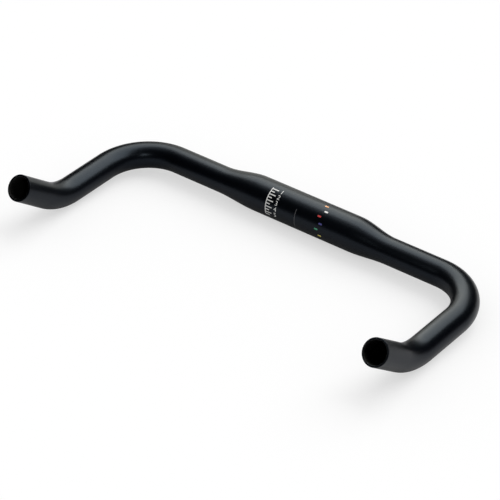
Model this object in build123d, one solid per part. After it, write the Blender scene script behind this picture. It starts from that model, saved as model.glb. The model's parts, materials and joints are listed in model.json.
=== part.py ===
from build123d import *
from math import asin, atan2, cos, degrees, hypot, radians, sin, tan
import os

# Bullhorn handlebar: one aluminium tube, fat where the stem grips it, swaged down to grip size on
# both sides, bent forward into two level horns and flicked up at the tips.
#
# Millimetres and degrees. +X is forward, +Y the rider's left and +Z up. The origin is the middle
# of the stem clamp, on the clamp's axis, which is Y. The bar lies as it comes to rest on a flat
# surface, turned about that axis until the clamp and the undersides of both horns touch it.

# Tube
CLAMP_DIAMETER = 31.8
CLAMP_WALL = 2.2
CLAMP_LENGTH = 102.0
GRIP_DIAMETER = 23.8
GRIP_WALL = 1.8
TAPER_LENGTH = 39.5

# Route, on the centreline of the tube
OUTSIDE_WIDTH = 400.0
GRIP_SET_FORWARD = 2.3
CORNER_RADIUS = 46.0
HORN_LENGTH = 45.0
FLICK_RADIUS = 54.0
FLICK_ANGLE = 38.0
TIP_LENGTH = 36.5

# Mouths of the tube
MOUTH_CHAMFER = 0.4

# Stations along the taper, as shares of its length: close ones for the smooth outside, and few for
# the bore, which is straight from one to the next
OUTSIDE_STATIONS = [step / 8 for step in range(9)]
BORE_STATIONS = [step / 4 for step in range(5)]

taper_start = CLAMP_LENGTH / 2
taper_end = taper_start + TAPER_LENGTH
clamp_radius = CLAMP_DIAMETER / 2
grip_radius = GRIP_DIAMETER / 2


def rest_tilt():
    """Turn about the clamp axis that brings clamp and horns level underneath.

    The surface is the common tangent under two circles, seen from the side: the clamp, and the
    underside of the flick bend, whose centre lies one bend radius above the horn's centreline.
    """
    reach = GRIP_SET_FORWARD + CORNER_RADIUS + HORN_LENGTH
    drop = clamp_radius - grip_radius - FLICK_RADIUS
    return degrees(atan2(FLICK_RADIUS, reach) + asin(drop / hypot(reach, FLICK_RADIUS)))


def cross_section(along, forward, radius):
    """Disc square to the clamp axis, at a place along it and a distance ahead of it."""
    return Plane.ZX.offset(along) * Pos(0, forward) * Circle(radius)


def taper(start_radius, end_radius, stations, ruled):
    """Swaged length, whose outline leaves the clamp and meets the grip without an edge."""
    sections = []
    for share in stations:
        blend = share * share * (3 - 2 * share)
        radius = start_radius + (end_radius - start_radius) * blend
        along = taper_start + TAPER_LENGTH * share
        sections.append(cross_section(along, GRIP_SET_FORWARD * blend, radius))
    return loft(sections, ruled=ruled)


def grip_route():
    """Centreline of the left grip, from the end of the taper round both bends to the tip."""
    flick_tangent = FLICK_RADIUS * tan(radians(FLICK_ANGLE) / 2)
    tip_direction = Vector(cos(radians(FLICK_ANGLE)), 0, sin(radians(FLICK_ANGLE)))
    start = Vector(GRIP_SET_FORWARD, taper_end, 0)
    corner = Vector(GRIP_SET_FORWARD, OUTSIDE_WIDTH / 2 - grip_radius, 0)
    flick = corner + Vector(CORNER_RADIUS + HORN_LENGTH + flick_tangent, 0, 0)
    tip = flick + tip_direction * (flick_tangent + TIP_LENGTH)
    return FilletPolyline(start, corner, flick, tip, radius=[CORNER_RADIUS, FLICK_RADIUS])


def round_bar(at_clamp, at_grip, stations, ruled=False):
    """Solid round bar along the whole route, for a radius at the clamp and one at the grips."""
    clamp = extrude(cross_section(0, 0, at_clamp), taper_start, both=True)
    grip = sweep(cross_section(taper_end, GRIP_SET_FORWARD, at_grip), path=grip_route())
    left = taper(at_clamp, at_grip, stations, ruled) + grip
    return clamp + left + mirror(left, about=Plane.XZ)


def handlebar():
    """The tube: a round bar less its bore, chamfered at both mouths and laid at its rest tilt."""
    bore_clamp_radius = clamp_radius - CLAMP_WALL
    bore_grip_radius = grip_radius - GRIP_WALL
    outside = round_bar(clamp_radius, grip_radius, OUTSIDE_STATIONS)
    tube = outside - round_bar(bore_clamp_radius, bore_grip_radius, BORE_STATIONS, ruled=True)
    mouths = tube.faces().filter_by(GeomType.PLANE)
    tube = chamfer(mouths.edges(), MOUTH_CHAMFER)
    return Rot(Y=rest_tilt()) * tube


os.makedirs("parts", exist_ok=True)
export_step(handlebar(), "parts/handlebar.step")
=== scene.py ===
"""Looks of the bullhorn handlebar: its satin black tube, the print on its clamp and the studio around it.

Metres and radians, with degrees in the studio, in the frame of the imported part: +X is forward, +Y the
rider's left and +Z up, and the origin is the middle of the stem clamp. Angles round the clamp run from
straight ahead, through straight up, to straight back.
"""

import json
import logging
import math
from dataclasses import dataclass
from enum import Enum
from typing import Any, Mapping, Optional, Union

import bpy
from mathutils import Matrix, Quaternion, Vector


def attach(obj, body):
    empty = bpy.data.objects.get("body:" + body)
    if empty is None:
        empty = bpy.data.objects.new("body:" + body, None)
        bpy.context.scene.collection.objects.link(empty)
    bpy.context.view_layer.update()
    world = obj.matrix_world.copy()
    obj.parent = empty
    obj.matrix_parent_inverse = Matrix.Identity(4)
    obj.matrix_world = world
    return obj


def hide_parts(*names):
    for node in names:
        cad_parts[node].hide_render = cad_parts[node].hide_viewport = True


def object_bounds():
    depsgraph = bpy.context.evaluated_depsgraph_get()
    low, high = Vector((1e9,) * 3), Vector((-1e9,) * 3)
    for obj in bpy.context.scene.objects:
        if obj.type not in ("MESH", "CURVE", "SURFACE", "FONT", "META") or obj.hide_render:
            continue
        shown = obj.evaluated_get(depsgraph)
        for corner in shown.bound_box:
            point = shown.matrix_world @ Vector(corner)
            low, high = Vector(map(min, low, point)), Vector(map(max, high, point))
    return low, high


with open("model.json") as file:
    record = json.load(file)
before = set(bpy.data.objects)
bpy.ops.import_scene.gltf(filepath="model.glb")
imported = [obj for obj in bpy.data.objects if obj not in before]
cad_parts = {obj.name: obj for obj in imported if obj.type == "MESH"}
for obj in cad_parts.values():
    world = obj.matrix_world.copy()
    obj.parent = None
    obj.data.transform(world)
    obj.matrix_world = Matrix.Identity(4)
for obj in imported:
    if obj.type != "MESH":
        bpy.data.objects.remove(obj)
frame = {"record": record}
cad_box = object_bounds()

log = logging.getLogger("handlebar")

Colour = tuple[float, float, float, float]
BODY = "root"
CAD_NODE = "handlebar"
MILLIMETRE = 0.001

# How close two points lie to be joined into one
SEAM = 0.001 * MILLIMETRE

# What smooth noise varies about
NOISE_MIDDLE = 0.5

# Sockets of a Mix node that mixes colours, which share their names with those for numbers and vectors
MIX_FACTOR, MIX_FIRST, MIX_SECOND, MIX_RESULT = 0, 6, 7, 2

# What the meshes carry for their finishes: each point's place on the tube before it was bent, a number that
# goes from 0 on the outside to 1 in the bore, and the colour of each printed mark
STRAIGHT_PLACE = "straight_place"
BORE_SHARE = "bore_share"
INK_COLOUR = "ink_colour"


# Node writing


class Term:
    """A node socket that takes part in Python arithmetic: each operation adds its Math node."""

    def __init__(self, sheet: "NodeSheet", socket: bpy.types.NodeSocket) -> None:
        """Holds the socket and the sheet of nodes it is on."""
        self.sheet = sheet
        self.socket = socket

    def __add__(self, other: "Operand") -> "Term":
        """Sum, in either order."""
        return self.sheet.math("ADD", self, other)

    __radd__ = __add__

    def __sub__(self, other: "Operand") -> "Term":
        """This less the other."""
        return self.sheet.math("SUBTRACT", self, other)

    def __rsub__(self, other: "Operand") -> "Term":
        """The other less this."""
        return self.sheet.math("SUBTRACT", other, self)

    def __mul__(self, other: "Operand") -> "Term":
        """Product, in either order."""
        return self.sheet.math("MULTIPLY", self, other)

    __rmul__ = __mul__

    def __truediv__(self, other: "Operand") -> "Term":
        """This divided by the other."""
        return self.sheet.math("DIVIDE", self, other)

    def __rtruediv__(self, other: "Operand") -> "Term":
        """The other divided by this."""
        return self.sheet.math("DIVIDE", other, self)

    def __pow__(self, other: "Operand") -> "Term":
        """This to a power."""
        return self.sheet.math("POWER", self, other)

    def __mod__(self, other: "Operand") -> "Term":
        """What is left of this after dividing by the other."""
        return self.sheet.math("MODULO", self, other)

    def __abs__(self) -> "Term":
        """This without its sign."""
        return self.sheet.math("ABSOLUTE", self)

    def __gt__(self, other: "Operand") -> "Term":
        """1 where this is more than the other, and else 0."""
        return self.sheet.math("GREATER_THAN", self, other)

    def sign(self) -> "Term":
        """-1, 0 or 1."""
        return self.sheet.math("SIGN", self)

    def sin(self) -> "Term":
        """Sine."""
        return self.sheet.math("SINE", self)

    def cos(self) -> "Term":
        """Cosine."""
        return self.sheet.math("COSINE", self)

    def between(self, low: "Operand", high: "Operand") -> "Term":
        """This, kept within two limits."""
        return self.sheet.math("MINIMUM", self.sheet.math("MAXIMUM", self, low), high)

    def eased(self) -> "Term":
        """This, kept within 0 and 1, with a level start and end."""
        share = self.between(0.0, 1.0)
        return share * share * (3.0 - 2.0 * share)


Operand = Union[Term, float]


class NodeSheet:
    """A node tree while it is written: of a material, a world or a shape."""

    def __init__(self, tree: bpy.types.NodeTree) -> None:
        """Holds the tree."""
        self.tree = tree

    def node(
        self,
        kind: str,
        settings: Optional[Mapping[str, Any]] = None,
        sockets: Optional[Mapping[Any, Any]] = None,
    ) -> bpy.types.Node:
        """Adds one node.

        Args:
            kind: Blender's name for the node's type.
            settings: the node's own properties, which are set first. switch_items is how many items an Index
                Switch has.
            sockets: input names or numbers, each with a value, a Term or a socket to link.

        Returns:
            The node.
        """
        made = self.tree.nodes.new(kind)
        for name, value in (settings or {}).items():
            if name == "switch_items":
                while len(made.index_switch_items) < value:
                    made.index_switch_items.new()
            else:
                setattr(made, name, value)
        for key, value in (sockets or {}).items():
            self.feed(made.inputs[key], value)
        return made

    def feed(self, socket: bpy.types.NodeSocket, value: Any) -> None:
        """Links a Term or a socket to an input, or sets the input's own value.

        Args:
            socket: the input.
            value: a Term, an output socket or a plain value.
        """
        source = value.socket if isinstance(value, Term) else value
        if isinstance(source, bpy.types.NodeSocket):
            self.tree.links.new(source, socket)
        else:
            socket.default_value = source

    def term(
        self,
        kind: str,
        settings: Optional[Mapping[str, Any]] = None,
        sockets: Optional[Mapping[Any, Any]] = None,
        output: Union[int, str] = 0,
    ) -> Term:
        """Adds one node and gives one of its outputs.

        Args:
            kind: Blender's name for the node's type.
            settings: as for node.
            sockets: as for node.
            output: the output's number or name.

        Returns:
            The output as a Term.
        """
        return Term(self, self.node(kind, settings, sockets).outputs[output])

    def math(self, operation: str, *values: Operand) -> Term:
        """Adds a Math node.

        Args:
            operation: the node's operation.
            values: its inputs, in order.

        Returns:
            Its result.
        """
        return self.term("ShaderNodeMath", {"operation": operation}, dict(enumerate(values)))

    def blend(self, share: Operand, first: Any, second: Any) -> Term:
        """Mixes two colours.

        Args:
            share: how much of the second there is.
            first: a colour, or a Term that carries one.
            second: likewise.

        Returns:
            The mixed colour.
        """
        sockets = {MIX_FACTOR: share, MIX_FIRST: first, MIX_SECOND: second}
        return self.term("ShaderNodeMix", {"data_type": "RGBA"}, sockets, MIX_RESULT)

    def vector(self, x: Operand, y: Operand, z: Operand) -> Term:
        """A vector from its three parts."""
        return self.term("ShaderNodeCombineXYZ", sockets={0: x, 1: y, 2: z})

    def parts(self, vector: Term) -> tuple[Term, Term, Term]:
        """The three parts of a vector."""
        split = self.node("ShaderNodeSeparateXYZ", sockets={0: vector})
        return Term(self, split.outputs[0]), Term(self, split.outputs[1]), Term(self, split.outputs[2])


class FinishSheet(NodeSheet):
    """The nodes of one material, round a Principled shader."""

    def __init__(self, name: str) -> None:
        """Starts the material.

        Args:
            name: the finish's name.
        """
        self.material = bpy.data.materials.new(name)
        self.material.use_nodes = True
        super().__init__(self.material.node_tree)
        self.shader = self.tree.nodes["Principled BSDF"]

    def attribute(self, name: str, output: str) -> Term:
        """A value that the mesh carries.

        Args:
            name: the attribute's name.
            output: Fac, Vector or Color.

        Returns:
            The value.
        """
        return self.term("ShaderNodeAttribute", {"attribute_name": name}, output=output)

    def noise(self, place: Term, scale: float, detail: float = 2.0, roughness: float = 0.5) -> Term:
        """Smooth noise from 0 to 1.

        Args:
            place: where it is read.
            scale: how many features there are to a metre.
            detail: how many finer layers are added.
            roughness: how strong those are.

        Returns:
            The noise.
        """
        sockets = {"Vector": place, "Scale": scale, "Detail": detail, "Roughness": roughness}
        return self.term("ShaderNodeTexNoise", sockets=sockets)

    def relief(self, height: Term, depth: float, strength: float) -> Term:
        """Bumps of a real height.

        Args:
            height: from 0 to 1.
            depth: what 1 stands for, in metres.
            strength: how much of that shows.

        Returns:
            The normal.
        """
        sockets = {"Height": height, "Distance": depth, "Strength": strength}
        return self.term("ShaderNodeBump", sockets=sockets)

    def dress(self, **sockets: Any) -> bpy.types.Material:
        """Feeds the shader.

        Args:
            sockets: what each of its sockets gets, with _ for each space in the socket's name.

        Returns:
            The finished material.
        """
        for name, value in sockets.items():
            self.feed(self.shader.inputs[name.replace("_", " ").title().replace("Ior", "IOR")], value)
        return self.material


class ShapeSheet(NodeSheet):
    """A Geometry Nodes tree with named inputs, and the piece that is made from it."""

    def __init__(self, name: str) -> None:
        """Starts the tree.

        Args:
            name: the tree's name.
        """
        super().__init__(bpy.data.node_groups.new(name, "GeometryNodeTree"))
        self.tree.interface.new_socket("Geometry", in_out="OUTPUT", socket_type="NodeSocketGeometry")
        self.inlet = self.node("NodeGroupInput")
        self.values: dict[str, Any] = {}

    def input(self, name: str, value: Any, kind: str = "NodeSocketFloat") -> Term:
        """Adds a named input.

        Args:
            name: its name.
            value: what the piece sets it to.
            kind: its socket type.

        Returns:
            The input as a Term.
        """
        socket = self.tree.interface.new_socket(name, in_out="INPUT", socket_type=kind)
        self.values[socket.identifier] = value
        return Term(self, self.inlet.outputs[name])

    def keep(self, geometry: Term, name: str, value: Any, data_type: str, domain: str = "POINT") -> Term:
        """Stores a value on the geometry under a name.

        Args:
            geometry: what carries it.
            name: the attribute's name.
            value: the value, read where the geometry is now.
            data_type: Blender's name for its type.
            domain: what of the geometry has a value each.

        Returns:
            The geometry.
        """
        settings = {"data_type": data_type, "domain": domain}
        sockets = {"Geometry": geometry, "Name": name, "Value": value}
        return self.term("GeometryNodeStoreNamedAttribute", settings, sockets)

    def place(self, geometry: Term, position: Term) -> Term:
        """Moves each point of the geometry to a position."""
        return self.term("GeometryNodeSetPosition", sockets={"Geometry": geometry, "Position": position})

    def close_seams(self, geometry: Term) -> Term:
        """Joins points that lie on each other."""
        return self.term("GeometryNodeMergeByDistance", sockets={"Geometry": geometry, "Distance": SEAM})

    def coat(self, geometry: Term, finish: Term, where: Union[Term, bool] = True) -> Term:
        """Gives the geometry a material.

        Args:
            geometry: what gets it.
            finish: the material.
            where: the faces that get it.

        Returns:
            The geometry.
        """
        sockets = {"Geometry": geometry, "Selection": where, "Material": finish}
        return self.term("GeometryNodeSetMaterial", sockets=sockets)

    def film(self, flat: Term, half_thickness: Term) -> Term:
        """Thickens flat faces, upwards, into a closed film.

        Args:
            flat: the faces.
            half_thickness: half of how thick the film is.

        Returns:
            The film.
        """
        sockets = {"Mesh": flat, "Offset Scale": 2.0 * half_thickness, "Individual": False}
        raised = self.term("GeometryNodeExtrudeMesh", sockets=sockets)
        both = self.node("GeometryNodeJoinGeometry", sockets={0: raised})
        self.feed(both.inputs[0], self.term("GeometryNodeFlipFaces", sockets={"Mesh": flat}))
        return self.close_seams(Term(self, both.outputs[0]))

    def real(self, geometry: Term) -> Term:
        """Turns instances into a mesh of their own."""
        return self.term("GeometryNodeRealizeInstances", sockets={"Geometry": geometry})

    def piece(self, name: str, geometry: Term) -> bpy.types.Object:
        """Ends the tree and makes a plain mesh from it.

        Args:
            name: the piece's name.
            geometry: what the tree gives.

        Returns:
            The piece, at the origin, with no modifier and no empty material slot left.
        """
        self.node("NodeGroupOutput", sockets={"Geometry": geometry})
        made = bpy.data.objects.new(name, bpy.data.meshes.new(name))
        bpy.context.scene.collection.objects.link(made)
        modifier = made.modifiers.new(self.tree.name, "NODES")
        modifier.node_group = self.tree
        for identifier, value in self.values.items():
            modifier[identifier] = value
        depsgraph = bpy.context.evaluated_depsgraph_get()
        mesh = bpy.data.meshes.new_from_object(made.evaluated_get(depsgraph), depsgraph=depsgraph)
        made.modifiers.remove(modifier)
        made.data = mesh
        mesh.name = name
        for number in reversed(range(len(mesh.materials))):
            if mesh.materials[number] is None:
                mesh.materials.pop(index=number)
        return made


# Finishes


@dataclass(frozen=True)
class SatinBlack:
    """Aluminium, bead-blasted and anodised black: an even satin with a fine pebble grain.

    The outer edge of each mouth has a thin, broken, lighter line that is partly wear and partly a painted
    highlight on the rim.
    """

    name: str = "satin_black_anodise"
    shade: Colour = (0.0005, 0.0008, 0.0019, 1.0)
    bloom: Colour = (0.0010, 0.0014, 0.0031, 1.0)
    # Colour of the mouth's edge line: wear, together with a painted highlight on the rim
    worn_and_highlit: Colour = (0.060, 0.060, 0.064, 1.0)
    gloss: float = 0.21
    gloss_tint: Colour = (0.64, 0.78, 1.0, 1.0)
    roughness: float = 0.305
    roughness_play: float = 0.05
    grain_per_metre: float = 2600.0
    pebble_per_metre: float = 1250.0
    mottle_per_metre: float = 70.0
    scuff_per_metre: float = 900.0
    grain_depth: float = 0.036 * MILLIMETRE
    grain_strength: float = 0.9
    grain_roughness: float = 0.04
    pebble_share: float = 0.75
    edge_share: float = 0.06
    least_edge_line: float = 0.3
    scuff_start: float = 0.4
    scuff_contrast: float = 4.0

    def material(self) -> bpy.types.Material:
        """Builds the finish.

        Returns:
            The material, which reads where each point lay on the straight tube.
        """
        sheet = FinishSheet(self.name)
        place = sheet.attribute(STRAIGHT_PLACE, "Vector")
        bore_share = sheet.attribute(BORE_SHARE, "Fac")
        grain = sheet.noise(place, self.grain_per_metre, detail=3.0, roughness=0.6)
        pebble = sheet.noise(place, self.pebble_per_metre, detail=1.0)
        mottle = sheet.noise(place, self.mottle_per_metre, detail=4.0, roughness=0.55)
        scuffs = sheet.noise(place, self.scuff_per_metre, detail=3.0, roughness=0.6)
        # Lighter line round the outer edge of each mouth: partly wear, partly a painted rim highlight; the
        # scuff noise breaks it up
        past_edge = bore_share / self.edge_share
        edge = past_edge.between(0.0, 1.0) * (2.0 - past_edge).eased()
        scuffed = ((scuffs - self.scuff_start) * self.scuff_contrast).eased()
        wear_and_highlight = edge * (self.least_edge_line + (1.0 - self.least_edge_line) * scuffed)
        shade = sheet.blend(mottle, self.shade, self.bloom)
        mottled = self.roughness_play * (mottle - NOISE_MIDDLE)
        grained = self.grain_roughness * (grain - NOISE_MIDDLE)
        surface = (1.0 - self.pebble_share) * grain + self.pebble_share * pebble
        return sheet.dress(
            base_color=sheet.blend(wear_and_highlight, shade, self.worn_and_highlit),
            specular_ior_level=self.gloss,
            specular_tint=self.gloss_tint,
            roughness=self.roughness + mottled + grained,
            normal=sheet.relief(surface, self.grain_depth, self.grain_strength),
        )


@dataclass(frozen=True)
class DrawnBore:
    """Inside of the tube: black, dull and never blasted, with the lengthwise lines that drawing left."""

    name: str = "drawn_black_bore"
    shade: Colour = (0.0016, 0.0016, 0.0018, 1.0)
    line: Colour = (0.0034, 0.0034, 0.0036, 1.0)
    roughness: float = 0.62
    roughness_play: float = 0.2
    lines_per_metre: float = 1500.0
    line_stretch: float = 0.02
    line_depth: float = 0.015 * MILLIMETRE
    line_strength: float = 0.5

    def material(self) -> bpy.types.Material:
        """Builds the finish.

        Returns:
            The material, whose lines run along the tube.
        """
        sheet = FinishSheet(self.name)
        along, across, up = sheet.parts(sheet.attribute(STRAIGHT_PLACE, "Vector"))
        stretched = sheet.vector(along * self.line_stretch, across, up)
        lines = sheet.noise(stretched, self.lines_per_metre, detail=3.0)
        return sheet.dress(
            base_color=sheet.blend(lines, self.shade, self.line),
            roughness=self.roughness + self.roughness_play * (lines - NOISE_MIDDLE),
            normal=sheet.relief(lines, self.line_depth, self.line_strength),
        )


@dataclass(frozen=True)
class PrintInk:
    """Pad-printed ink: a thin even film, a little uneven in tone, in the colour that each mark carries."""

    name: str = "pad_printed_ink"
    ground: Colour = (0.02, 0.02, 0.022, 1.0)
    thin: float = 0.16
    roughness: float = 0.46
    roughness_play: float = 0.1
    blots_per_metre: float = 1400.0
    blot_start: float = 0.3
    blot_depth: float = 0.004 * MILLIMETRE
    blot_strength: float = 0.3

    def material(self) -> bpy.types.Material:
        """Builds the finish.

        Returns:
            The material, which reads each mark's colour.
        """
        sheet = FinishSheet(self.name)
        place = sheet.term("ShaderNodeTexCoord", output="Object")
        blots = sheet.noise(place, self.blots_per_metre)
        colour = sheet.attribute(INK_COLOUR, "Color")
        thinned = self.thin * (blots - self.blot_start).between(0.0, 1.0)
        return sheet.dress(
            base_color=sheet.blend(thinned, colour, self.ground),
            roughness=self.roughness + self.roughness_play * (blots - NOISE_MIDDLE),
            normal=sheet.relief(blots, self.blot_depth, self.blot_strength),
        )


class Ink(Enum):
    """Colours of the print."""

    WHITE = (0.82, 0.82, 0.80, 1.0)
    GREY = (0.12, 0.12, 0.13, 1.0)
    YELLOW = (0.84, 0.72, 0.16, 1.0)
    GREEN = (0.06, 0.36, 0.20, 1.0)
    BLUE = (0.07, 0.07, 0.30, 1.0)
    RED = (0.66, 0.035, 0.035, 1.0)
    ORANGE = (0.80, 0.34, 0.10, 1.0)


# The bar


@dataclass
class BentTube:
    """The bar: a tube swaged from clamp to grips, bent forward at two corners and flicked up at both tips.

    It is one sheet of faces that runs along the outside from the right tip to the left, over the lip, back
    through the bore and over the other lip, so it is closed all round.
    """

    clamp_radius: float
    clamp_length: float
    grip_radius: float
    grip_wall: float
    half_width: float
    tip_slope: float
    clamp_wall: float = 2.2 * MILLIMETRE
    taper_length: float = 39.5 * MILLIMETRE
    set_forward: float = 2.3 * MILLIMETRE
    corner_radius: float = 46.0 * MILLIMETRE
    horn_length: float = 45.0 * MILLIMETRE
    flick_radius: float = 54.0 * MILLIMETRE
    flick_angle: float = math.radians(38.0)
    tip_length: float = 36.5 * MILLIMETRE
    lip: float = 0.4 * MILLIMETRE
    lip_squareness: float = 0.5
    bore_from: float = 0.9
    outside_steps: int = 332
    bore_steps: int = 166
    lip_steps: int = 14
    facets: int = 96

    @classmethod
    def from_frame(cls, record: Mapping[str, Any]) -> "BentTube":
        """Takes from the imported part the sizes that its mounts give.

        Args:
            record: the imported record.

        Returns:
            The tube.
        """
        mounts = {mount["name"]: mount for mount in record["mounts"]}
        clamp = mounts["stem_clamp"]["dims"]
        grip_radius = mounts["left_tip"]["dims"]["r_mm"] * MILLIMETRE
        forward, _, up = mounts["left_tip"]["axis"]
        return cls(
            clamp_radius=clamp["r_mm"] * MILLIMETRE,
            clamp_length=clamp["length_mm"] * MILLIMETRE,
            grip_radius=grip_radius,
            grip_wall=grip_radius - mounts["left_mouth"]["dims"]["r_mm"] * MILLIMETRE,
            half_width=mounts["left_tip"]["pos_m"][1] + grip_radius,
            tip_slope=math.atan2(up, forward),
        )

    def shape(self, outside: bpy.types.Material, bore: bpy.types.Material) -> bpy.types.Object:
        """Builds the tube's mesh.

        Args:
            outside: finish of the outside and the lips.
            bore: finish of the inside.

        Returns:
            The piece.
        """
        sheet = ShapeSheet("swaged_and_bent_tube")
        grid, along, around, wall_turn = self._blank(sheet)
        reach = abs(along)
        swage = self._swage(sheet, reach)
        bore_share, radius = self._wall(sheet, swage, wall_turn)
        centre, corner, flick = self._route(sheet, reach, along.sign(), swage)
        forward, left, up = centre
        ahead, above = radius * around.cos(), radius * around.sin()
        position = sheet.vector(
            forward + ahead * corner.cos() - above * flick.sin(),
            left - along.sign() * ahead * corner.sin(),
            up + above * flick.cos(),
        )
        carried = sheet.keep(grid, STRAIGHT_PLACE, sheet.vector(along, ahead, above), "FLOAT_VECTOR")
        carried = sheet.keep(carried, BORE_SHARE, bore_share, "FLOAT")
        bent = sheet.close_seams(sheet.place(carried, position))
        tilt = sheet.input("Rest Tilt", self.flick_angle - self.tip_slope)
        turn = sheet.term("FunctionNodeEulerToRotation", sockets={0: sheet.vector(0.0, tilt, 0.0)})
        laid = sheet.term("GeometryNodeTransform", sockets={"Geometry": bent, "Rotation": turn})
        smooth = sheet.real(sheet.term("GeometryNodeSetShadeSmooth", sockets={"Geometry": laid}))
        coated = sheet.coat(smooth, sheet.input("Outside Finish", outside, "NodeSocketMaterial"))
        settings, sockets = {"data_type": "FLOAT"}, {"Name": BORE_SHARE}
        inside = sheet.term("GeometryNodeInputNamedAttribute", settings, sockets) > self.bore_from
        coated = sheet.coat(coated, sheet.input("Bore Finish", bore, "NodeSocketMaterial"), inside)
        return sheet.piece("bent_tube", coated)

    def _blank(self, sheet: ShapeSheet) -> tuple[Term, Term, Term, Term]:
        """The sheet of faces before it has a shape, and where each of its points belongs.

        Args:
            sheet: the tree.

        Returns:
            The faces; the distance along the tube, from the middle to the left; the angle round the tube;
            and the angle round the wall, which is 0 outside and half a turn in the bore.
        """
        outside_steps, lip_steps, bore_steps = self.outside_steps, self.lip_steps, self.bore_steps
        steps = outside_steps + lip_steps + bore_steps + lip_steps
        sockets = {
            "Size X": steps,
            "Size Y": math.tau,
            "Vertices X": steps + 1,
            "Vertices Y": self.facets + 1,
        }
        grid = sheet.term("GeometryNodeMeshGrid", sockets=sockets)
        step, around, _ = sheet.parts(sheet.term("GeometryNodeInputPosition"))
        step = step + steps / 2
        on_outside = (step / outside_steps).between(0.0, 1.0)
        on_left_lip = ((step - outside_steps) / lip_steps).between(0.0, 1.0)
        on_bore = ((step - (outside_steps + lip_steps)) / bore_steps).between(0.0, 1.0)
        on_right_lip = ((step - (steps - lip_steps)) / lip_steps).between(0.0, 1.0)
        lip = sheet.input("Mouth Lip", self.lip)
        squareness = sheet.input("Lip Squareness", self.lip_squareness)
        half_length = sheet.input("Half Length", self.half_length()) - lip
        bulge = self._round(on_left_lip, squareness) - self._round(on_right_lip, squareness)
        along = half_length * (2.0 * on_outside - 2.0 * on_bore - 1.0) + lip * bulge
        return grid, along, around, math.pi * (on_left_lip + on_right_lip)

    @staticmethod
    def _round(share: Term, squareness: Term) -> Term:
        """How far a lip stands out at a share of the way over it."""
        return abs((math.pi * share).sin()) ** squareness

    def half_length(self) -> float:
        """Length of the centreline from the middle of the clamp to a mouth."""
        bends = self.corner_radius * math.pi / 2 + self.flick_radius * self.flick_angle
        return self.corner_start() + bends + self.horn_length + self.tip_length

    def corner_start(self) -> float:
        """Distance from the middle of the clamp to the start of a corner."""
        return self.half_width - self.grip_radius - self.corner_radius

    def _swage(self, sheet: ShapeSheet, reach: Term) -> Term:
        """How far the tube is swaged down.

        Args:
            sheet: the tree.
            reach: distance along the tube from the middle.

        Returns:
            0 at the clamp and 1 at the grips.
        """
        taper_start = sheet.input("Half Clamp Length", self.clamp_length / 2)
        return ((reach - taper_start) / sheet.input("Taper Length", self.taper_length)).eased()

    def _wall(self, sheet: ShapeSheet, swage: Term, wall_turn: Term) -> tuple[Term, Term]:
        """Where in the wall a point lies.

        Args:
            sheet: the tree.
            swage: 0 at the clamp and 1 at the grips.
            wall_turn: the angle round the wall.

        Returns:
            0 outside to 1 in the bore, and the distance from the centreline.
        """
        clamp_radius = sheet.input("Clamp Radius", self.clamp_radius)
        clamp_wall = sheet.input("Clamp Wall", self.clamp_wall)
        outer = clamp_radius + (sheet.input("Grip Radius", self.grip_radius) - clamp_radius) * swage
        wall = clamp_wall + (sheet.input("Grip Wall", self.grip_wall) - clamp_wall) * swage
        side = wall_turn.cos()
        bore_share = (1.0 - side.sign() * abs(side) ** self.lip_squareness) / 2.0
        return bore_share, outer - wall * bore_share

    def _route(
        self, sheet: ShapeSheet, reach: Term, side: Term, swage: Term
    ) -> tuple[tuple[Term, Term, Term], Term, Term]:
        """The centreline, before the bar is laid at its rest tilt.

        Args:
            sheet: the tree.
            reach: distance along the tube from the middle.
            side: 1 on the left and -1 on the right.
            swage: 0 at the clamp and 1 at the grips.

        Returns:
            The place (forward, left, up), the angle turned through at the corner and the angle flicked up.
        """
        corner_start = sheet.input("Corner Start", self.corner_start())
        corner_radius = sheet.input("Corner Radius", self.corner_radius)
        horn_length = sheet.input("Horn Length", self.horn_length)
        flick_radius = sheet.input("Flick Radius", self.flick_radius)
        flick_angle = sheet.input("Flick Angle", self.flick_angle)
        tip_length = sheet.input("Tip Length", self.tip_length)
        past_corner = reach - (corner_start + corner_radius * (math.pi / 2))
        past_horn = past_corner - horn_length
        corner = ((reach - corner_start) / corner_radius).between(0.0, math.pi / 2)
        horn = past_corner.between(0.0, horn_length)
        flick = (past_horn / flick_radius).between(0.0, flick_angle)
        tip = (past_horn - flick_radius * flick_angle).between(0.0, tip_length)
        forward = sheet.input("Set Forward", self.set_forward) * swage + corner_radius * (1.0 - corner.cos())
        forward = forward + horn + flick_radius * flick.sin() + tip * flick.cos()
        left = side * (reach.between(0.0, corner_start) + corner_radius * corner.sin())
        up = flick_radius * (1.0 - flick.cos()) + tip * flick.sin()
        return (forward, left, up), corner, flick


# Print on the clamp


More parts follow.
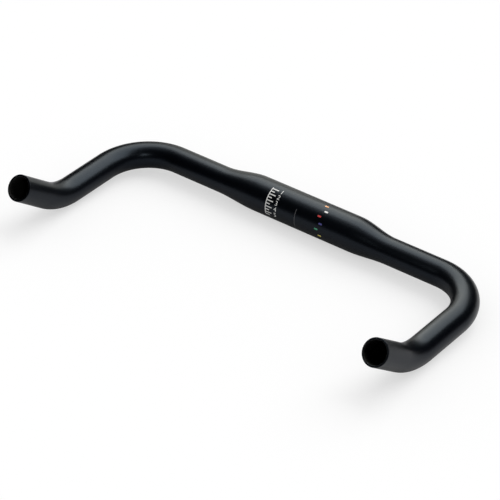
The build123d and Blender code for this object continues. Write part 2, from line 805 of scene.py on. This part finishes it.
@dataclass(frozen=True)
class PrintedBars:
    """A row of short printed bars that lie along the clamp, spaced round it."""

    name: str
    count: int
    first_angle: float
    angle_step: float
    along: float
    length: float
    width: float
    inks: tuple[Ink, ...]
    stagger: float = 0.0
    long_every: int = 1
    long_ratio: float = 1.0
    film: float = 0.03 * MILLIMETRE
    corner: float = 0.12 * MILLIMETRE
    corner_steps: int = 4

    def shape(self, clamp_radius: float, finish: bpy.types.Material) -> bpy.types.Object:
        """Builds the row.

        Args:
            clamp_radius: radius of the surface that it is printed on.
            finish: the ink.

        Returns:
            The piece.
        """
        sheet = ShapeSheet(self.name)
        count = sheet.input("Count", self.count, "NodeSocketInt")
        radius = sheet.input("Clamp Radius", clamp_radius)
        film = sheet.input("Film", self.film)
        length = sheet.input("Length", self.length)
        index = sheet.term("GeometryNodeInputIndex")
        first_angle = sheet.input("First Angle", self.first_angle)
        angle = first_angle + sheet.input("Angle Step", self.angle_step) * index
        past_long = (index % sheet.input("Long Every", float(self.long_every))).between(0.0, 1.0)
        stretch = 1.0 + (sheet.input("Long Ratio", self.long_ratio) - 1.0) * (1.0 - past_long)
        along = sheet.input("Along", self.along) + sheet.input("Stagger", self.stagger) * (index % 2.0)
        foot = radius - film
        position = sheet.vector(foot * angle.cos(), along + length * stretch / 2.0, foot * angle.sin())
        points = sheet.term("GeometryNodePoints", sockets={"Count": count, "Position": position})
        facing_out = sheet.vector(0.0, math.pi / 2 - angle, 0.0)
        turn = sheet.term("FunctionNodeEulerToRotation", sockets={0: facing_out})
        sockets = {
            "Points": points,
            "Instance": self._bar(sheet, length, film),
            "Rotation": turn,
            "Scale": sheet.vector(1.0, stretch, 1.0),
        }
        bars = sheet.term("GeometryNodeInstanceOnPoints", sockets=sockets)
        inked = sheet.keep(bars, INK_COLOUR, self._ink(sheet, index), "FLOAT_COLOR", "INSTANCE")
        coat = sheet.input("Ink Finish", finish, "NodeSocketMaterial")
        return sheet.piece(self.name, sheet.coat(sheet.real(inked), coat))

    def _bar(self, sheet: ShapeSheet, length: Term, film: Term) -> Term:
        """One bar, lying flat, as a closed film.

        Args:
            sheet: the tree.
            length: its length.
            film: how far it stands above the surface, and how far it goes below.

        Returns:
            The bar.
        """
        sockets = {"Width": sheet.input("Width", self.width), "Height": length}
        outline = sheet.term("GeometryNodeCurvePrimitiveQuadrilateral", {"mode": "RECTANGLE"}, sockets)
        sockets = {
            "Curve": outline,
            "Count": self.corner_steps,
            "Radius": sheet.input("Corner", self.corner),
            "Limit Radius": True,
        }
        rounded = sheet.term("GeometryNodeFilletCurve", {"mode": "POLY"}, sockets)
        flat = sheet.term("GeometryNodeFillCurve", {"mode": "NGONS"}, {"Curve": rounded})
        return sheet.film(flat, film)

    def _ink(self, sheet: ShapeSheet, index: Term) -> Term:
        """The colour of each bar, in turn.

        Args:
            sheet: the tree.
            index: the bar's number.

        Returns:
            The colour.
        """
        inks = len(self.inks)
        settings = {"data_type": "RGBA", "switch_items": inks}
        switch = sheet.node("GeometryNodeIndexSwitch", settings, {0: index % float(inks)})
        for number, ink in enumerate(self.inks):
            colour = sheet.input(f"Ink {number + 1}", ink.value, "NodeSocketColor")
            sheet.feed(switch.inputs[number + 1], colour)
        return Term(sheet, switch.outputs[0])


@dataclass(frozen=True)
class PrintedLine:
    """A thin printed line that runs round part of the clamp."""

    name: str
    first_angle: float
    sweep: float
    along: float
    width: float
    ink: Ink
    film: float = 0.03 * MILLIMETRE
    steps: int = 48

    def shape(self, clamp_radius: float, finish: bpy.types.Material) -> bpy.types.Object:
        """Builds the line.

        Args:
            clamp_radius: radius of the surface that it is printed on.
            finish: the ink.

        Returns:
            The piece.
        """
        sheet = ShapeSheet(self.name)
        sockets = {
            "Resolution": self.steps,
            "Radius": sheet.input("Clamp Radius", clamp_radius),
            "Start Angle": sheet.input("First Angle", self.first_angle),
            "Sweep Angle": sheet.input("Sweep", self.sweep),
        }
        arc = sheet.term("GeometryNodeCurveArc", {"mode": "RADIUS"}, sockets)
        film = sheet.input("Film", self.film)
        sockets = {"Width": 2.0 * film, "Height": sheet.input("Width", self.width)}
        section = sheet.term("GeometryNodeCurvePrimitiveQuadrilateral", {"mode": "RECTANGLE"}, sockets)
        sockets = {"Curve": arc, "Profile Curve": section, "Fill Caps": True}
        line = sheet.term("GeometryNodeCurveToMesh", sockets=sockets)
        upright = sheet.term("FunctionNodeEulerToRotation", sockets={0: (math.pi / 2, 0.0, 0.0)})
        shift = sheet.vector(0.0, sheet.input("Along", self.along), 0.0)
        sockets = {"Geometry": line, "Translation": shift, "Rotation": upright}
        wrapped = sheet.term("GeometryNodeTransform", sockets=sockets)
        colour = sheet.input("Ink", self.ink.value, "NodeSocketColor")
        inked = sheet.keep(wrapped, INK_COLOUR, colour, "FLOAT_COLOR")
        coat = sheet.input("Ink Finish", finish, "NodeSocketMaterial")
        return sheet.piece(self.name, sheet.coat(sheet.real(inked), coat))


@dataclass(frozen=True)
class PrintedNumbers:
    """Plain digits, one to a place round the clamp, upright to somebody who stands in front of the bar."""

    name: str
    digits: str
    first_angle: float
    angle_step: float
    along: float
    size: float
    ink: Ink
    film: float = 0.03 * MILLIMETRE
    splits: int = 2

    def shape(self, clamp_radius: float, finish: bpy.types.Material) -> bpy.types.Object:
        """Builds the digits flat, each at its place on the unrolled clamp, and wraps them round it.

        Args:
            clamp_radius: radius of the surface that they are printed on.
            finish: the ink.

        Returns:
            The piece.
        """
        sheet = ShapeSheet(self.name)
        radius = sheet.input("Clamp Radius", clamp_radius)
        film = sheet.input("Film", self.film)
        digits = sheet.input("Digits", self.digits, "NodeSocketString")
        sockets = {"String": digits, "Size": sheet.input("Size", self.size)}
        glyphs = sheet.node("GeometryNodeStringToCurves", {"pivot_mode": "MIDPOINT"}, sockets)
        left, low, _ = sheet.parts(Term(sheet, glyphs.outputs["Pivot Point"]))
        index = sheet.term("GeometryNodeInputIndex")
        first_angle = sheet.input("First Angle", self.first_angle)
        angle = first_angle + sheet.input("Angle Step", self.angle_step) * index
        middle = sheet.vector(sheet.input("Along", self.along) - left, radius * angle - low, 0.0)
        spread = sheet.real(sheet.place(Term(sheet, glyphs.outputs["Curve Instances"]), middle))
        flat = sheet.term("GeometryNodeFillCurve", {"mode": "TRIANGLES"}, {"Curve": spread})
        flat = sheet.term("GeometryNodeSubdivideMesh", sockets={"Mesh": flat, "Level": self.splits})
        across, round_clamp, height = sheet.parts(sheet.term("GeometryNodeInputPosition"))
        turn = round_clamp / radius
        out = radius - film + height
        round_it = sheet.vector(out * turn.cos(), across, out * turn.sin())
        wrapped = sheet.place(sheet.film(flat, film), round_it)
        colour = sheet.input("Ink", self.ink.value, "NodeSocketColor")
        inked = sheet.keep(wrapped, INK_COLOUR, colour, "FLOAT_COLOR")
        coat = sheet.input("Ink Finish", finish, "NodeSocketMaterial")
        return sheet.piece(self.name, sheet.coat(sheet.real(inked), coat))


@dataclass(frozen=True)
class ClampPrint:
    """All print on the clamp: a numbered scale for the bar's angle, a centre line and coloured dashes."""

    scale: PrintedBars = PrintedBars(
        name="angle_scale",
        count=10,
        first_angle=math.radians(70.0),
        angle_step=math.radians(-10.0),
        along=-32.6 * MILLIMETRE,
        length=3.8 * MILLIMETRE,
        width=0.9 * MILLIMETRE,
        inks=(Ink.WHITE,),
        long_every=2,
        long_ratio=1.7,
    )
    numbers: PrintedNumbers = PrintedNumbers(
        name="angle_scale_numbers",
        digits="12345",
        first_angle=math.radians(70.0),
        angle_step=math.radians(-20.0),
        along=-22.6 * MILLIMETRE,
        size=6.0 * MILLIMETRE,
        ink=Ink.WHITE,
    )
    scale_line: PrintedLine = PrintedLine(
        name="angle_scale_line",
        first_angle=math.radians(74.0),
        sweep=math.radians(-96.0),
        along=-33.0 * MILLIMETRE,
        width=0.9 * MILLIMETRE,
        ink=Ink.WHITE,
    )
    centre_line: PrintedLine = PrintedLine(
        name="centre_line",
        first_angle=math.radians(39.0),
        sweep=math.radians(-100.0),
        along=-1.5 * MILLIMETRE,
        width=0.45 * MILLIMETRE,
        ink=Ink.GREY,
    )
    dashes: PrintedBars = PrintedBars(
        name="coloured_dashes",
        count=6,
        first_angle=math.radians(88.0),
        angle_step=math.radians(-21.0),
        along=20.0 * MILLIMETRE,
        length=3.6 * MILLIMETRE,
        width=1.5 * MILLIMETRE,
        inks=(Ink.ORANGE, Ink.WHITE, Ink.RED, Ink.BLUE, Ink.GREEN, Ink.YELLOW),
        stagger=3.6 * MILLIMETRE,
        corner=0.5 * MILLIMETRE,
    )

    def pieces(self, clamp_radius: float, finish: bpy.types.Material) -> list[bpy.types.Object]:
        """Builds every mark.

        Args:
            clamp_radius: radius of the surface that they are printed on.
            finish: the ink.

        Returns:
            The pieces.
        """
        marks = (self.scale, self.scale_line, self.numbers, self.centre_line, self.dashes)
        return [mark.shape(clamp_radius, finish) for mark in marks]


# Studio


def direction(azimuth: float, elevation: float) -> Vector:
    """A direction from its bearing and its height.

    Args:
        azimuth: degrees from straight ahead towards the rider's left.
        elevation: degrees above the floor.

    Returns:
        The unit vector.
    """
    bearing, height = math.radians(azimuth), math.radians(elevation)
    level = math.cos(height)
    return Vector((level * math.cos(bearing), level * math.sin(bearing), math.sin(height)))


def stage_mesh(
    name: str,
    points: list[tuple[float, float, float]],
    faces: list[tuple[int, ...]],
    finish: bpy.types.Material,
) -> bpy.types.Object:
    """A plain mesh that isn't part of the bar.

    Args:
        name: its name.
        points: its vertices.
        faces: its faces.
        finish: its material.

    Returns:
        The object.
    """
    mesh = bpy.data.meshes.new(name)
    mesh.from_pydata(points, [], faces)
    mesh.materials.append(finish)
    made = bpy.data.objects.new(name, mesh)
    bpy.context.scene.collection.objects.link(made)
    return made


def show_in_reflections_only(card: bpy.types.Object) -> None:
    """Hides a card from all but glossy rays, so that it shapes reflections and neither lights nor shades."""
    card.visible_camera = card.visible_diffuse = card.visible_shadow = card.visible_transmission = False


@dataclass(frozen=True)
class BrightCard:
    """A flat bright card that faces the bar, at a bearing, a height and a distance from it."""

    name: str
    azimuth: float
    elevation: float
    distance: float
    width: float
    height: float
    roll: float
    glow: float
    tint: tuple[float, float, float] = (1.05, 1.05, 0.96)

    def stand(self, aim: Vector) -> bpy.types.Object:
        """Puts the card up.

        Args:
            aim: what it faces.

        Returns:
            The card.
        """
        back = direction(self.azimuth, self.elevation)
        level = Vector((0.0, 0.0, 1.0)).cross(back).normalized()
        turn = Quaternion(back, math.radians(self.roll))
        across, up = turn @ level * (self.width / 2), turn @ back.cross(level) * (self.height / 2)
        middle = aim + back * self.distance
        points = [middle + across * i + up * j for i, j in ((-1, -1), (1, -1), (1, 1), (-1, 1))]
        colour = (*(self.glow * part for part in self.tint), 1.0)
        sheet = FinishSheet(self.name)
        finish = sheet.dress(base_color=(0.0, 0.0, 0.0, 1.0), emission_color=colour, emission_strength=1.0)
        card = stage_mesh(self.name, [tuple(point) for point in points], [(0, 1, 2, 3)], finish)
        show_in_reflections_only(card)
        return card


@dataclass(frozen=True)
class Studio:
    """A white floor under a pale sky and one soft light, with cards that only the bar's reflections see."""

    floor_level: float
    floor_size: float = 120.0
    floor_colour: Colour = (0.45, 0.45, 0.45, 1.0)
    floor_glow: float = 0.565
    shade_azimuth: float = 130.0
    shade_elevation: float = 46.0
    shade_reach: float = 0.2
    shade_depth: float = 3.7
    shade_samples: int = 3
    sky: Colour = (0.62, 0.62, 0.62, 1.0)
    light_azimuth: float = 165.0
    light_elevation: float = 50.0
    light_spread: float = 60.0
    light_strength: float = 1.44
    bright_cards: tuple[BrightCard, ...] = (
        BrightCard(
            name="bright_card_above",
            azimuth=188.0,
            elevation=57.0,
            distance=0.395,
            width=0.98,
            height=0.36,
            roll=-21.0,
            glow=5.0,
        ),
        BrightCard(
            name="bright_card_behind",
            azimuth=215.0,
            elevation=11.5,
            distance=0.44,
            width=0.38,
            height=0.25,
            roll=0.0,
            glow=0.95,
        ),
        BrightCard(
            name="bright_card_in_front",
            azimuth=16.0,
            elevation=43.0,
            distance=0.34,
            width=0.07,
            height=0.06,
            roll=0.0,
            glow=14.0,
        ),
    )
    ring_radius: float = 0.45
    ring_low: float = 23.0
    ring_high: float = 87.0
    ring_rise: float = 0.65
    ring_colour: Colour = (0.004, 0.004, 0.004, 1.0)
    ring_segments: int = 72
    camera_aim: tuple[float, float, float] = (0.07075, -0.00519, -0.00336)
    camera_azimuth: float = 39.13
    camera_elevation: float = 33.46
    camera_distance: float = 1.9771
    focal_pixels: float = 2357.5
    image_pixels: float = 500.0
    sensor: float = 36.0

    def build(self) -> None:
        """Makes the floor, the cards, the light, the sky and the camera."""
        aim = Vector(self.camera_aim)
        self._floor()
        self._dark_cards(aim)
        [card.stand(aim) for card in self.bright_cards]
        self._light()
        self._sky()
        self._camera(aim)

    def _floor(self) -> bpy.types.Object:
        """A large floor at the level that the bar lies on, which keeps its shadow and shows white.

        In reflections its glow is held back where the bar shades it from the light behind.

        Returns:
            The floor.
        """
        half = self.floor_size / 2
        corners = [(-half, -half), (half, -half), (half, half), (-half, half)]
        points = [(x, y, self.floor_level) for x, y in corners]
        sheet = FinishSheet("white_floor")
        path = sheet.node("ShaderNodeLightPath")
        rays = ("Is Camera Ray", "Is Glossy Ray", "Is Transmission Ray")
        seen, *mirrored = [Term(sheet, path.outputs[ray]) for ray in rays]
        towards_light = sheet.vector(*direction(self.shade_azimuth, self.shade_elevation))
        sockets = {"Distance": self.shade_reach, "Normal": towards_light}
        open_share = sheet.term("ShaderNodeAmbientOcclusion", {"samples": self.shade_samples}, sockets, "AO")
        glow = self.floor_glow * (seen + open_share**self.shade_depth * sum(mirrored)).between(0.0, 1.0)
        finish = sheet.dress(
            base_color=self.floor_colour,
            roughness=1.0,
            specular_ior_level=0.0,
            emission_color=sheet.vector(glow, glow, glow),
            emission_strength=1.0,
        )
        return stage_mesh("floor", points, [(0, 1, 2, 3)], finish)

    def _dark_cards(self, aim: Vector) -> bpy.types.Object:
        """A ring of dark cards, high on the camera's side and low behind.

        Args:
            aim: what the ring goes round.

        Returns:
            The ring.
        """
        points = []
        for segment in range(self.ring_segments):
            azimuth = 360.0 * segment / self.ring_segments
            facing = (1.0 + math.cos(math.radians(azimuth - self.camera_azimuth))) / 2
            rim = math.radians(self.ring_low + (self.ring_high - self.ring_low) * facing**self.ring_rise)
            foot = aim + direction(azimuth, 0.0) * self.ring_radius
            points.append((foot.x, foot.y, self.floor_level))
            points.append((foot.x, foot.y, self.ring_radius * math.tan(rim)))
        count = len(points)
        faces = [(i, (i + 2) % count, (i + 3) % count, i + 1) for i in range(0, count, 2)]
        sheet = FinishSheet("dark_card")
        finish = sheet.dress(base_color=self.ring_colour, roughness=1.0, specular_ior_level=0.0)
        ring = stage_mesh("dark_cards", points, faces, finish)
        show_in_reflections_only(ring)
        return ring

    def _light(self) -> None:
        """The soft light, which the cards stand in for in reflections."""
        lamp = bpy.data.lights.new("soft_light", "SUN")
        lamp.energy = self.light_strength
        lamp.angle = math.radians(self.light_spread)
        made = bpy.data.objects.new("soft_light", lamp)
        towards = direction(self.light_azimuth, self.light_elevation)
        made.rotation_euler = towards.to_track_quat("Z", "Y").to_euler()
        made.visible_glossy = False
        bpy.context.scene.collection.objects.link(made)

    def _sky(self) -> None:
        """The pale sky."""
        world = bpy.data.worlds.new("pale_sky")
        world.use_nodes = True
        world.node_tree.nodes["Background"].inputs["Color"].default_value = self.sky
        bpy.context.scene.world = world

    def _camera(self, aim: Vector) -> None:
        """The camera, where the photograph was taken from.

        Args:
            aim: what it looks at.
        """
        lens = bpy.data.cameras.new("camera")
        lens.sensor_width = self.sensor
        lens.lens = self.sensor * self.focal_pixels / self.image_pixels
        lens.clip_end = 2.0 * self.floor_size
        back = direction(self.camera_azimuth, self.camera_elevation)
        made = bpy.data.objects.new("camera", lens)
        made.location = aim + back * self.camera_distance
        made.rotation_euler = (-back).to_track_quat("-Z", "Y").to_euler()
        bpy.context.scene.collection.objects.link(made)
        bpy.context.scene.camera = made


def main() -> None:
    """Builds the bar, its print and the studio, in that order."""
    logging.basicConfig(level=logging.INFO, format="%(name)s: %(message)s")
    bpy.context.scene.view_settings.view_transform = "Standard"
    tube = BentTube.from_frame(frame["record"])
    bar = tube.shape(SatinBlack().material(), DrawnBore().material())
    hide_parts(CAD_NODE)
    pieces = [bar, *ClampPrint().pieces(tube.clamp_radius, PrintInk().material())]
    for piece in pieces:
        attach(piece, BODY)
        log.info("%s: %d faces", piece.name, len(piece.data.polygons))
    Studio(floor_level=cad_box[0].z).build()


if __name__ == "__main__":
    main()
